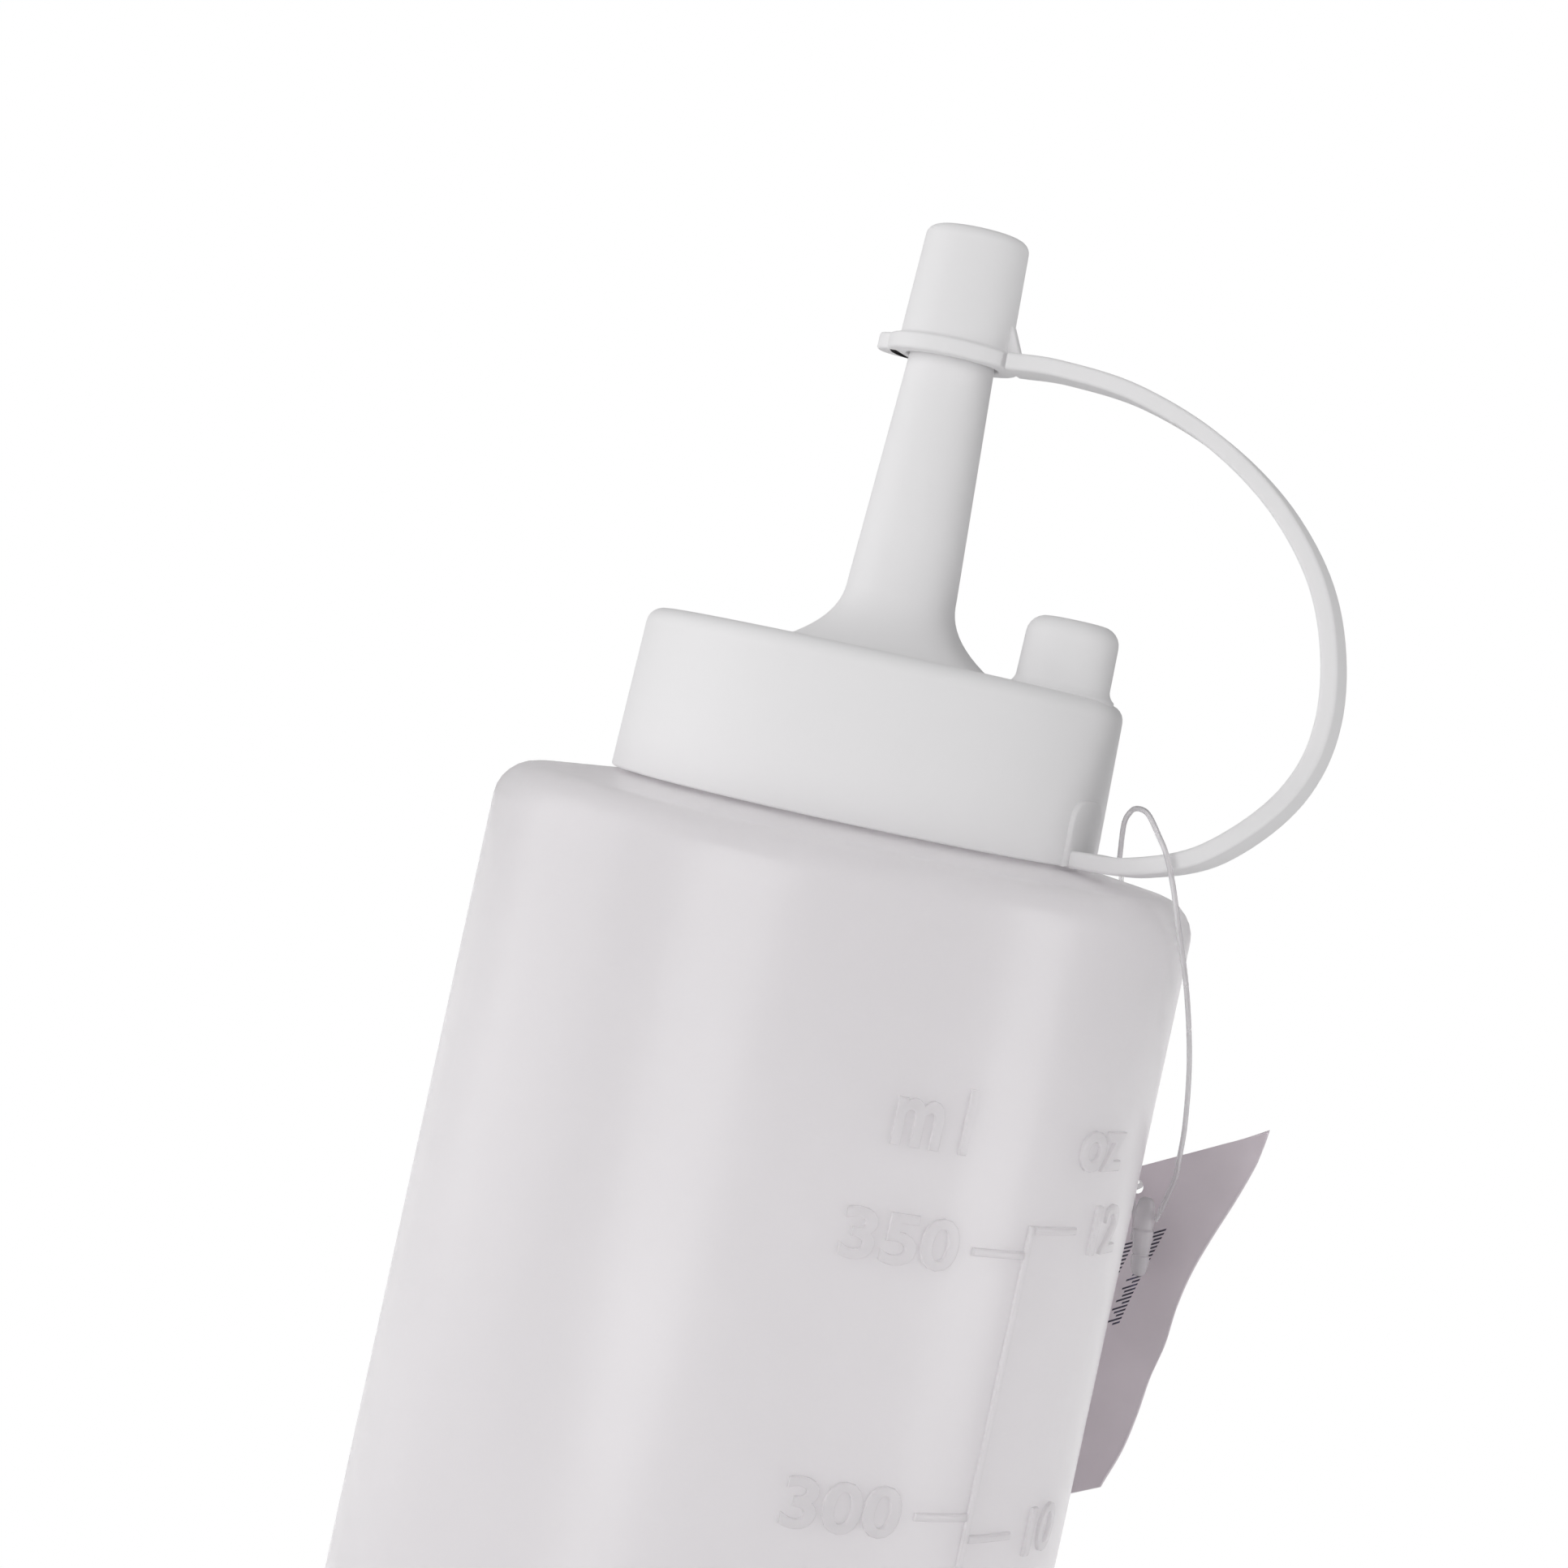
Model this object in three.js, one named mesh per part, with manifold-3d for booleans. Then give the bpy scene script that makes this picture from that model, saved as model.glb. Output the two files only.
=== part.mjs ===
// Squeeze bottle with a nozzle cap, a tethered tip cap and a hang tag.
// Millimetres, +Z up. The origin is on the bottle's axis, in the plane of its standing ring.
// The camera side of the object is -Y, and the tether leaves the cap towards +X and -Y.

import * as THREE from 'three';
import { mergeVertices } from 'three/addons/utils/BufferGeometryUtils.js';
import Module from 'manifold-3d';

const wasm = await Module();
wasm.setup();

// Bottle
const bottleRadius = 29;
const bottleWall = 0.8;
const baseThickness = 1.1;
const baseCornerRadius = 4;
const panelLift = 1;
const panelRadius = 20;
const ringWidth = 2.5;
const shoulderStart = 167.7;
const shoulderCornerRadius = 3;
const shoulderSlopeDeg = 6.9;
const neckRadius = 17.4;
const neckWall = 1.3;
const neckFillet = 1;
const neckHeight = 11.1;
const neckBeadProud = 0.55;
const neckBeadHeight = 1.2;
const neckBeadInset = 0.6;

// Raised scale on the bottle
const scaleAzimuthDeg = -47.6;
const scaleZeroHeight = 3;
const scaleRaise = 0.3;
const scaleLineWidth = 0.6;
const millilitreStep = 50;
const millilitreMarks = 7;
const ounceStep = 2;
const ounceMarks = 6;
const millilitresPerOunce = 29.574;
const millilitreTickLength = 5.3;
const ounceTickLength = 5.3;
const scaleLineMargin = 2.5;

// Screw cap
const neckClearance = 1.15;
const skirtWall = 1.3;
const skirtDraft = 0.35;
const skirtRimGap = 0.3;
const capTopThickness = 1.9;
const capTopRounding = 1.3;
const lipGap = 0.3;
const flareRootRadius = 8.6;
const nozzleRootRadius = 4.55;
const nozzleFlareHeight = 5.6;
const nozzleMouthRadius = 3.55;
const nozzleTipRadius = 3.0;
const nozzleTipWall = 0.9;
const nozzleRootWall = 1.2;
const nozzleHeight = 34.04;
const nozzleFlareCurve = 2.3;

// Parking post on the cap's top
const postRadius = 3.85;
const postHeight = 5.9;
const postChamfer = 1.6;
const postInset = 4.85;
const postAzimuthDeg = -19;

// Tip cap
const tipCapHeight = 10.8;
const tipCapTaper = 0.35;
const tipCapRounding = 0.9;
const tipCapWall = 0.77;
const tipCapRoof = 1.1;
const tipCapGap = 0.3;
const flangeProud = 0.85;
const flangeThickness = 1.4;
const tabProud = 1;
const tabHalfWidth = 2.2;
const gussetHeight = 2.4;
const gussetThickness = 1.1;

// Tether strap
const strapWidth = 5;
const strapThickness = 1.4;
const strapBow = 16.3;
const strapRootAzimuthDeg = -26;
const strapTipAzimuthDeg = -18;
const strapTurnShare = 0.36;
const strapGap = 0.3;
const padHeight = 5.4;
const padProud = 0.35;
const padMargin = 0.4;
const padCornerRadius = 1.8;

// Tag, its loop and the loop's clasp
const loopRadius = 0.22;
const tagThickness = 0.4;
const tagGap = 0.35;
const tagAzimuthDeg = 60;
const tagWidth = 17;
const tagHeight = 33.8;
const tagTopRight = [29.9, 152.6];
const tagEdgeRise = 0.54;
const tagSideLean = 0.25;
const tagHoleRadius = 0.65;
const tagHoleFromCorner = [-11.04, -7.8];
const claspHeadRadius = 0.84;
const claspCollarRadius = 0.93;
const claspWaistRadius = 0.68;
const claspRingRadius = 0.77;
const claspLength = 6.8;
const claspFoot = [32.4, 12.5, 137.8];
const claspLeanDeg = -6;

// The loop's route: over the strap, down both sides of the bottle's wall and into the clasp.
const loopRoute = [
  [32.75, 11.7, 142.9],
  [33.1, 10.6, 145],
  [33.25, 8.9, 147.2],
  [32.9, 6.4, 149.4],
  [32.3, 2.8, 152.5],
  [31.1, -2, 157.2],
  [29.65, -7, 161.3],
  [28.1, -11, 165.2],
  [26.5, -14, 168.8],
  [25.1, -15.4, 172.3],
  [24.1, -15.3, 174.5],
  [23.4, -14.9, 175.6],
  [22.35, -13, 177.15],
  [21.65, -11, 177.4],
  [21.35, -8.7, 177],
  [21.25, -6.4, 175.9],
  [21.9, -1.5, 173.3],
  [22.3, 1.6, 172.2],
  [23.2, 9, 171.7],
  [24.2, 17, 170.3],
  [25, 20.2, 166.6],
  [25.4, 21, 161],
  [26.4, 21, 155],
  [28.2, 20.4, 149.6],
  [30.6, 18.9, 146.4],
  [31.55, 17, 145.1],
  [30.75, 15.4, 144.5],
  [31, 14.3, 143.3],
  [31.3, 13.6, 141.9],
  [31.35, 13.25, 140.6],
];

const lathSteps = 56;
const arcSteps = 5;
const rad = THREE.MathUtils.degToRad;

// Places worked out from the sizes above
const slope = Math.tan(rad(shoulderSlopeDeg));
const shoulderArcEnd = Math.PI / 2 - rad(shoulderSlopeDeg);
const cornerCentreRadius = bottleRadius - shoulderCornerRadius;
const coneOuterRadius = cornerCentreRadius + shoulderCornerRadius * Math.cos(shoulderArcEnd);
const coneOuterHeight = shoulderStart + shoulderCornerRadius * Math.sin(shoulderArcEnd);
const coneHeight = (radius) => coneOuterHeight + (coneOuterRadius - radius) * slope;
const neckRoot = coneHeight(neckRadius);
const lipHeight = neckRoot + neckHeight;
const skirtTopRadius = neckRadius + neckClearance + skirtWall;
const skirtBottomRadius = skirtTopRadius + skirtDraft;
const skirtRim = coneHeight(skirtBottomRadius) + skirtRimGap;
const capUnderside = lipHeight + lipGap;
const capTop = capUnderside + capTopThickness;
const postDistance = skirtTopRadius - postInset;
const nozzleEnd = capTop + nozzleHeight;
const tipCapCeiling = nozzleEnd + tipCapGap;
const tipCapTop = tipCapCeiling + tipCapRoof;
const tipCapRimHeight = tipCapTop - tipCapHeight;
const flangeTop = tipCapRimHeight + flangeThickness;
const tipCapBottomRadius = nozzleMouthRadius + tipCapGap + tipCapWall;
const tipCapTopRadius = tipCapBottomRadius - tipCapTaper;
const flangeRadius = tipCapBottomRadius + flangeProud;
const tabReach = flangeRadius + tabProud;
const strapReach = skirtBottomRadius + strapBow;
const tagBack = bottleRadius + tagGap;

function arc(centreX, centreY, radius, from, to, steps = arcSteps) {
  const points = [];
  for (let i = 0; i <= steps; i += 1) {
    const angle = from + ((to - from) * i) / steps;
    points.push([centreX + radius * Math.cos(angle), centreY + radius * Math.sin(angle)]);
  }
  return points;
}

function lathe(outline, steps = lathSteps) {
  return new THREE.LatheGeometry(outline.map(([r, z]) => new THREE.Vector2(r, z)), steps).rotateX(Math.PI / 2);
}

function toSolid(geometry) {
  const plain = geometry.clone();
  plain.deleteAttribute('normal');
  plain.deleteAttribute('uv');
  const merged = mergeVertices(plain, 1e-4);
  return new wasm.Manifold(new wasm.Mesh({
    numProp: 3,
    vertProperties: new Float32Array(merged.attributes.position.array),
    triVerts: new Uint32Array(merged.index.array),
  }));
}

function toGeometry(solid) {
  const mesh = solid.getMesh();
  const geometry = new THREE.BufferGeometry();
  geometry.setAttribute('position', new THREE.BufferAttribute(new Float32Array(mesh.vertProperties), 3));
  geometry.setIndex(new THREE.BufferAttribute(new Uint32Array(mesh.triVerts), 1));
  geometry.computeVertexNormals();
  return geometry;
}

function joined(first, ...others) {
  return toGeometry(others.reduce((solid, geometry) => solid.add(toSolid(geometry)), toSolid(first)));
}

// A slab whose outline lies in the upright plane through the axis, at the given azimuth.
function radialSlab(outline, width, azimuthDeg) {
  const shape = new THREE.Shape(outline.map(([r, z]) => new THREE.Vector2(r, z)));
  return new THREE.ExtrudeGeometry(shape, { depth: width, bevelEnabled: false })
    .translate(0, 0, -width / 2)
    .rotateX(Math.PI / 2)
    .rotateZ(rad(azimuthDeg));
}

function bottleOutline() {
  const ringOuter = bottleRadius - baseCornerRadius;
  const ringInner = ringOuter - ringWidth;
  const innerRadius = bottleRadius - bottleWall;
  const innerCorner = shoulderCornerRadius - bottleWall;
  const innerBase = baseCornerRadius - bottleWall;
  const bore = neckRadius - neckWall;
  const floor = panelLift + baseThickness;
  const beadTop = lipHeight - neckBeadInset;
  const filletStart = neckRadius + neckFillet;
  const innerConeHeight = (radius) => coneHeight(radius) - bottleWall;
  return [
    [0, panelLift],
    [panelRadius, panelLift],
    [ringInner, 0],
    ...arc(ringOuter, baseCornerRadius, baseCornerRadius, -Math.PI / 2, 0),
    ...arc(cornerCentreRadius, shoulderStart, shoulderCornerRadius, 0, shoulderArcEnd),
    [filletStart, coneHeight(filletStart)],
    [neckRadius, coneHeight(filletStart) + neckFillet],
    [neckRadius, beadTop - neckBeadHeight - neckBeadProud],
    [neckRadius + neckBeadProud, beadTop - neckBeadHeight],
    [neckRadius + neckBeadProud, beadTop],
    [neckRadius, lipHeight],
    [bore, lipHeight],
    [bore, innerConeHeight(bore) - neckFillet],
    [bore + neckFillet, innerConeHeight(bore + neckFillet)],
    ...arc(cornerCentreRadius, shoulderStart, innerCorner, shoulderArcEnd, 0),
    ...arc(ringOuter, baseCornerRadius, innerBase, 0, -Math.PI / 2),
    [ringInner, bottleWall],
    [panelRadius, floor],
    [0, floor],
  ];
}

function markHeight(millilitres) {
  const area = Math.PI * (bottleRadius - bottleWall) ** 2;
  return scaleZeroHeight + (millilitres * 1000) / area;
}

// A raised bar that follows the wall from one azimuth to another, sunk into the wall at its back.
function wallBar(fromDeg, toDeg, lowHeight, highHeight) {
  const sink = bottleWall / 2;
  const steps = Math.max(1, Math.ceil(Math.abs(toDeg - fromDeg) / 4));
  const outer = arc(0, 0, bottleRadius + scaleRaise, rad(fromDeg), rad(toDeg), steps);
  const inner = arc(0, 0, bottleRadius - sink, rad(toDeg), rad(fromDeg), steps);
  const shape = new THREE.Shape([...outer, ...inner].map(([x, y]) => new THREE.Vector2(x, y)));
  return new THREE.ExtrudeGeometry(shape, { depth: highHeight - lowHeight, bevelEnabled: false })
    .translate(0, 0, lowHeight);
}

function scaleBars() {
  const degreesPerMillimetre = 180 / (Math.PI * bottleRadius);
  const halfLine = scaleLineWidth / 2;
  const lineHalfAngle = halfLine * degreesPerMillimetre;
  const low = markHeight(millilitreStep) - scaleLineMargin;
  const high = markHeight(ounceStep * ounceMarks * millilitresPerOunce) + scaleLineMargin;
  const bars = [wallBar(scaleAzimuthDeg - lineHalfAngle, scaleAzimuthDeg + lineHalfAngle, low, high)];
  for (let i = 1; i <= millilitreMarks; i += 1) {
    const height = markHeight(i * millilitreStep);
    const from = scaleAzimuthDeg - millilitreTickLength * degreesPerMillimetre;
    bars.push(wallBar(from, scaleAzimuthDeg, height - halfLine, height + halfLine));
  }
  for (let i = 1; i <= ounceMarks; i += 1) {
    const height = markHeight(i * ounceStep * millilitresPerOunce);
    const to = scaleAzimuthDeg + ounceTickLength * degreesPerMillimetre;
    bars.push(wallBar(scaleAzimuthDeg, to, height - halfLine, height + halfLine));
  }
  return bars;
}

function capOutline() {
  const flareTop = capTop + nozzleFlareHeight;
  const flare = [];
  for (let i = 0; i <= 6; i += 1) {
    const share = i / 6;
    const drop = (1 - share) ** nozzleFlareCurve;
    flare.push([
      nozzleRootRadius + (flareRootRadius - nozzleRootRadius) * drop,
      capTop + nozzleFlareHeight * share,
    ]);
  }
  const roundCentre = skirtTopRadius - capTopRounding;
  const mouthBore = nozzleTipRadius - nozzleTipWall;
  return [
    [skirtBottomRadius, skirtRim],
    ...arc(roundCentre, capTop - capTopRounding, capTopRounding, 0, Math.PI / 2, 4),
    ...flare,
    [nozzleMouthRadius, tipCapRimHeight],
    [nozzleTipRadius, nozzleEnd],
    [mouthBore, nozzleEnd],
    [nozzleRootRadius - nozzleRootWall, flareTop],
    [nozzleRootRadius - nozzleRootWall, capUnderside],
    [skirtTopRadius - skirtWall, capUnderside],
    [skirtBottomRadius - skirtWall, skirtRim],
    [skirtBottomRadius, skirtRim],
  ];
}

function postGeometry() {
  const top = capTop + postHeight;
  const outline = [
    [0, capTop - capTopThickness / 2],
    [postRadius, capTop - capTopThickness / 2],
    ...arc(postRadius - postChamfer, top - postChamfer, postChamfer, 0, Math.PI / 2, 3),
    [0, top],
  ];
  return lathe(outline, 32).translate(postDistance, 0, 0).rotateZ(rad(postAzimuthDeg));
}

// The pad on the skirt from which the strap grows.
function padGeometry() {
  const half = strapWidth / 2 + padMargin;
  const shape = new THREE.Shape();
  shape.moveTo(-half, 0);
  shape.lineTo(half, 0);
  shape.lineTo(half, padHeight - padCornerRadius);
  shape.absarc(half - padCornerRadius, padHeight - padCornerRadius, padCornerRadius, 0, Math.PI / 2);
  shape.absarc(padCornerRadius - half, padHeight - padCornerRadius, padCornerRadius, Math.PI / 2, Math.PI);
  const depth = skirtWall / 2 + padProud;
  return new THREE.ExtrudeGeometry(shape, { depth, bevelEnabled: false, curveSegments: 4 })
    .rotateX(Math.PI / 2)
    .rotateZ(Math.PI / 2)
    .translate(skirtBottomRadius - skirtWall / 2, 0, skirtRim)
    .rotateZ(rad(strapRootAzimuthDeg));
}

function tipCapGeometry() {
  const clearBore = nozzleMouthRadius + tipCapGap;
  const topBore = nozzleTipRadius + tipCapGap;
  const roundCentre = tipCapTopRadius - tipCapRounding;
  const body = lathe([
    [clearBore, tipCapRimHeight],
    [flangeRadius, tipCapRimHeight],
    [flangeRadius, flangeTop],
    [tipCapBottomRadius, flangeTop],
    ...arc(roundCentre, tipCapTop - tipCapRounding, tipCapRounding, 0, Math.PI / 2, 4),
    [0, tipCapTop],
    [0, tipCapCeiling],
    [topBore, tipCapCeiling],
    [clearBore, tipCapRimHeight],
  ], 40);
  return joined(body, tabGeometry(), gussetGeometry());
}

function tabGeometry() {
  const start = tipCapBottomRadius - tipCapWall / 2;
  const shape = new THREE.Shape();
  shape.moveTo(start, -tabHalfWidth);
  shape.lineTo(tabReach - tabHalfWidth, -tabHalfWidth);
  shape.absarc(tabReach - tabHalfWidth, 0, tabHalfWidth, -Math.PI / 2, Math.PI / 2);
  shape.lineTo(start, tabHalfWidth);
  return new THREE.ExtrudeGeometry(shape, { depth: flangeThickness, bevelEnabled: false, curveSegments: 8 })
    .translate(0, 0, tipCapRimHeight)
    .rotateZ(rad(strapTipAzimuthDeg + 180));
}

function gussetGeometry() {
  const start = tipCapBottomRadius - tipCapWall / 2;
  const outline = [
    [start, flangeTop - flangeThickness / 2],
    [flangeRadius, flangeTop - flangeThickness / 2],
    [flangeRadius, flangeTop],
    [tipCapBottomRadius, flangeTop + gussetHeight],
    [start, flangeTop + gussetHeight],
  ];
  return radialSlab(outline, gussetThickness, strapTipAzimuthDeg);
}

function strapRoute() {
  const rootRadius = skirtBottomRadius + padProud + strapGap;
  const tipRadius = flangeRadius + strapGap;
  const low = skirtRim + strapThickness / 2;
  const high = tipCapRimHeight + flangeThickness / 2;
  const lower = [[0, 0], [0.28, 0.012], [0.635, 0.075], [0.915, 0.222], [1, 0.41]];
  const upper = [[0.935, 0.62], [0.787, 0.784], [0.579, 0.906], [0.344, 0.979], [0.13, 1.002], [0, 1]];
  const place = (start, [out, up]) => new THREE.Vector2(
    start + (strapReach - start) * out,
    low + (high - low) * up,
  );
  return new THREE.SplineCurve([
    ...lower.map((share) => place(rootRadius, share)),
    ...upper.map((share) => place(tipRadius, share)),
  ]);
}

function strapGeometry() {
  const steps = 30;
  const route = strapRoute();
  const sides = [1, -1].map((side) => {
    const points = [];
    for (let i = 0; i <= steps; i += 1) {
      const point = route.getPoint(i / steps);
      const tangent = route.getTangent(i / steps);
      const reach = (side * strapThickness) / 2;
      points.push([point.x + tangent.y * reach, point.y - tangent.x * reach]);
    }
    return points;
  });
  const geometry = radialSlab([...sides[0], ...sides[1].reverse()], strapWidth, 0);
  turnWithHeight(geometry);
  return geometry;
}

// The strap leaves the skirt at one azimuth and reaches the tip cap at another.
function turnWithHeight(geometry) {
  const position = geometry.attributes.position;
  const point = new THREE.Vector3();
  const upright = new THREE.Vector3(0, 0, 1);
  for (let i = 0; i < position.count; i += 1) {
    point.fromBufferAttribute(position, i);
    const rise = (point.z - skirtRim) / (tipCapRimHeight - skirtRim);
    const share = THREE.MathUtils.smoothstep(rise, 0, strapTurnShare);
    const azimuth = THREE.MathUtils.lerp(strapRootAzimuthDeg, strapTipAzimuthDeg, share);
    point.applyAxisAngle(upright, rad(azimuth));
    position.setXYZ(i, point.x, point.y, point.z);
  }
}

function loopGeometry() {
  const route = new THREE.CatmullRomCurve3(loopRoute.map((place) => new THREE.Vector3(...place)));
  const section = new THREE.Shape(
    arc(0, 0, loopRadius, 0, Math.PI * 1.75, 7).map(([x, y]) => new THREE.Vector2(x, y)),
  );
  return new THREE.ExtrudeGeometry(section, { steps: 76, extrudePath: route, bevelEnabled: false });
}

function claspGeometry() {
  const headCentre = claspLength - claspHeadRadius;
  const outline = [
    [0, 0],
    ...arc(0, claspRingRadius, claspRingRadius, -Math.PI / 3, 0, 2),
    [claspRingRadius, claspLength * 0.25],
    [claspWaistRadius, claspLength * 0.28],
    [claspCollarRadius, claspLength * 0.59],
    ...arc(0, headCentre, claspHeadRadius, -Math.PI / 6, Math.PI / 3, 3),
    [0, claspLength],
  ];
  return lathe(outline, 20).rotateY(rad(claspLeanDeg)).translate(...claspFoot);
}

// The tag's outline is drawn across (along the wall's tangent) and up, then stood against the wall.
function tagGeometry() {
  const [right, top] = tagTopRight;
  const footRight = right - tagHeight * tagSideLean;
  const shape = new THREE.Shape([
    new THREE.Vector2(right, top),
    new THREE.Vector2(right - tagWidth, top - tagWidth * tagEdgeRise),
    new THREE.Vector2(footRight - tagWidth, top - tagHeight - tagWidth * tagEdgeRise),
    new THREE.Vector2(footRight, top - tagHeight),
  ]);
  const hole = new THREE.Path();
  hole.absarc(right + tagHoleFromCorner[0], top + tagHoleFromCorner[1], tagHoleRadius, 0, Math.PI * 2);
  shape.holes.push(hole);
  return new THREE.ExtrudeGeometry(shape, { depth: tagThickness, bevelEnabled: false, curveSegments: 8 })
    .rotateX(Math.PI / 2)
    .rotateZ(-Math.PI / 2)
    .translate(tagBack + tagThickness, 0, 0)
    .rotateZ(rad(tagAzimuthDeg));
}

function piece(name, geometry, color, roughness) {
  const material = new THREE.MeshStandardMaterial({ color, roughness, metalness: 0 });
  const mesh = new THREE.Mesh(geometry, material);
  mesh.name = name;
  return mesh;
}

const squeezeBottle = new THREE.Group();
squeezeBottle.name = 'squeeze_bottle';
squeezeBottle.add(
  piece('bottle', joined(lathe(bottleOutline()), ...scaleBars()), '#dcdadd', 0.42),
  piece('screw_cap', joined(lathe(capOutline()), postGeometry(), padGeometry()), '#e9e8ea', 0.38),
  piece('tip_cap', tipCapGeometry(), '#e9e8ea', 0.38),
  piece('strap', strapGeometry(), '#e4e2e5', 0.4),
  piece('tag_loop', loopGeometry(), '#d2cdd2', 0.2),
  piece('tag_loop_clasp', claspGeometry(), '#d8d4d8', 0.25),
  piece('hang_tag', tagGeometry(), '#a69da3', 0.6),
);

export default squeezeBottle;
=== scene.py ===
"""A milky squeeze bottle with a nozzle cap, a tethered tip cap and a hang tag, round its solid model."""

import math

import bmesh
import bpy
from bpy.props import FloatProperty, FloatVectorProperty, IntProperty, PointerProperty
from mathutils import Matrix, Vector


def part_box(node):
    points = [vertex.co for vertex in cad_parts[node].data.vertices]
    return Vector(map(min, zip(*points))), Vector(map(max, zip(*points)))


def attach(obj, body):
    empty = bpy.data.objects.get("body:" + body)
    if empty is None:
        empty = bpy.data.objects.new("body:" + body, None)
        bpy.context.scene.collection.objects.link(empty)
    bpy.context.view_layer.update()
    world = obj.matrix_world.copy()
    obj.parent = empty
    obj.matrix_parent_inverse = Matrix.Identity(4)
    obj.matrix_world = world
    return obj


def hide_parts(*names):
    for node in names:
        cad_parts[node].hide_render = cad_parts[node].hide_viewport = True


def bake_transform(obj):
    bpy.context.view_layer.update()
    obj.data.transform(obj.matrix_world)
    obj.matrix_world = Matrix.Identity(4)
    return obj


bl_info = {
    "name": "Squeeze bottle",
    "version": (1, 0, 0),
    "blender": (4, 5, 0),
    "location": "View3D > Sidebar > Bottle",
    "description": "Builds a squeeze bottle with its cap, strap, tag and stage",
    "category": "Add Mesh",
}

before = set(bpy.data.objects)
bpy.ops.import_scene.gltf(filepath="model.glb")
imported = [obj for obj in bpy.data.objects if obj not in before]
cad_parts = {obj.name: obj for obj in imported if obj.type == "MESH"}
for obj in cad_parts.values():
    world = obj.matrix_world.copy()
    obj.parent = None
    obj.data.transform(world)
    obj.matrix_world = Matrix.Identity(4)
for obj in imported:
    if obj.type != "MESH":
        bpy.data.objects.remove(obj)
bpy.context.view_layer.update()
MM = 0.001
BOTTLE_LOW, BOTTLE_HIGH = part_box("bottle")
CAP_LOW, CAP_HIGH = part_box("screw_cap")
TIP_LOW, TIP_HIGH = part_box("tip_cap")
OUTER_RADIUS = BOTTLE_HIGH.x
LIP = BOTTLE_HIGH.z
RIM = CAP_LOW.z
SKIRT_RADIUS = CAP_HIGH.x
NOZZLE_END = CAP_HIGH.z
LIP_GAP = 0.3 * MM
CAP_TOP_THICKNESS = 1.9 * MM
CAP_UNDERSIDE = LIP + LIP_GAP
CAP_TOP = CAP_UNDERSIDE + CAP_TOP_THICKNESS

SHOULDER_SLOPE_DEG = 6.9
THREAD_STEPS = 72
MILLILITRES_PER_OUNCE = 29.574

# The tag's right edge against a straight line, in millimetres, from its top to its foot
EDGE_WAVE = (0, -0.12, -0.38, -0.7, -0.85, -0.68, -0.27, -0.32, 0, 0.2, 0)
TAG_ROWS = 168

# The tag's loop, the same points as in the solid model, in metres
LOOP_ROUTE = [
    (0.03275, 0.0117, 0.1429),
    (0.0331, 0.0106, 0.145),
    (0.03325, 0.0089, 0.1472),
    (0.0329, 0.0064, 0.1494),
    (0.0323, 0.0028, 0.1525),
    (0.0311, -0.002, 0.1572),
    (0.02965, -0.007, 0.1613),
    (0.0281, -0.011, 0.1652),
    (0.0265, -0.014, 0.1688),
    (0.0251, -0.0154, 0.1723),
    (0.0241, -0.0153, 0.1745),
    (0.0234, -0.0149, 0.1756),
    (0.02235, -0.013, 0.17715),
    (0.02165, -0.011, 0.1774),
    (0.02135, -0.0087, 0.177),
    (0.02125, -0.0064, 0.1759),
    (0.0219, -0.0015, 0.1733),
    (0.0223, 0.0016, 0.1722),
    (0.0232, 0.009, 0.1717),
    (0.0242, 0.017, 0.1703),
    (0.025, 0.0202, 0.1666),
    (0.0254, 0.021, 0.161),
    (0.0264, 0.021, 0.155),
    (0.0282, 0.0204, 0.1496),
    (0.0306, 0.0189, 0.1464),
    (0.03155, 0.017, 0.1451),
    (0.03075, 0.0154, 0.1445),
    (0.031, 0.0143, 0.1433),
    (0.0313, 0.0136, 0.1419),
    (0.03135, 0.01325, 0.1406),
]


def length(name, about, default):
    """A size property in metres."""
    return FloatProperty(name=name, description=about, default=default, min=0, unit="LENGTH", precision=5)


def colour(name, about, default):
    """A colour property."""
    return FloatVectorProperty(
        name=name, description=about, default=default, size=3, min=0, max=1, subtype="COLOR",
    )


def angle(name, about, degrees):
    """An angle property, given in degrees."""
    return FloatProperty(name=name, description=about, default=math.radians(degrees), subtype="ANGLE")


def number(name, about, default):
    """A plain number."""
    return FloatProperty(name=name, description=about, default=default)


class BottleSizes(bpy.types.PropertyGroup):
    """Sizes of the blown bottle and its raised scale."""

    wall: length("Wall", "Thickness of the bottle's wall", 0.8 * MM)
    corner: length("Shoulder corner", "Radius of the rounded shoulder corner", 3.0 * MM)
    shoulder: length("Shoulder start", "Height at which the side starts to round over", 167.7 * MM)
    neck_radius: length("Neck radius", "Outer radius of the neck between its threads", 17.4 * MM)
    neck_wall: length("Neck wall", "Thickness of the neck", 1.3 * MM)
    thread_pitch: length("Thread pitch", "Rise of the thread in one turn", 4.23 * MM)
    thread_proud: length("Thread height", "How far the thread stands out of the neck", 0.65 * MM)
    scale_azimuth: angle("Scale azimuth", "Where the scale's line stands, from +X", -47.6)
    scale_raise: length("Scale relief", "How far the scale stands out of the wall", 0.3 * MM)
    scale_zero: length("Scale zero", "Height at which the scale would read zero", 3.0 * MM)
    tick: length("Tick length", "Length of the scale's ticks", 5.3 * MM)
    steps: IntProperty(name="Steps", description="Facets round the bottle", default=144, min=24)


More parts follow.
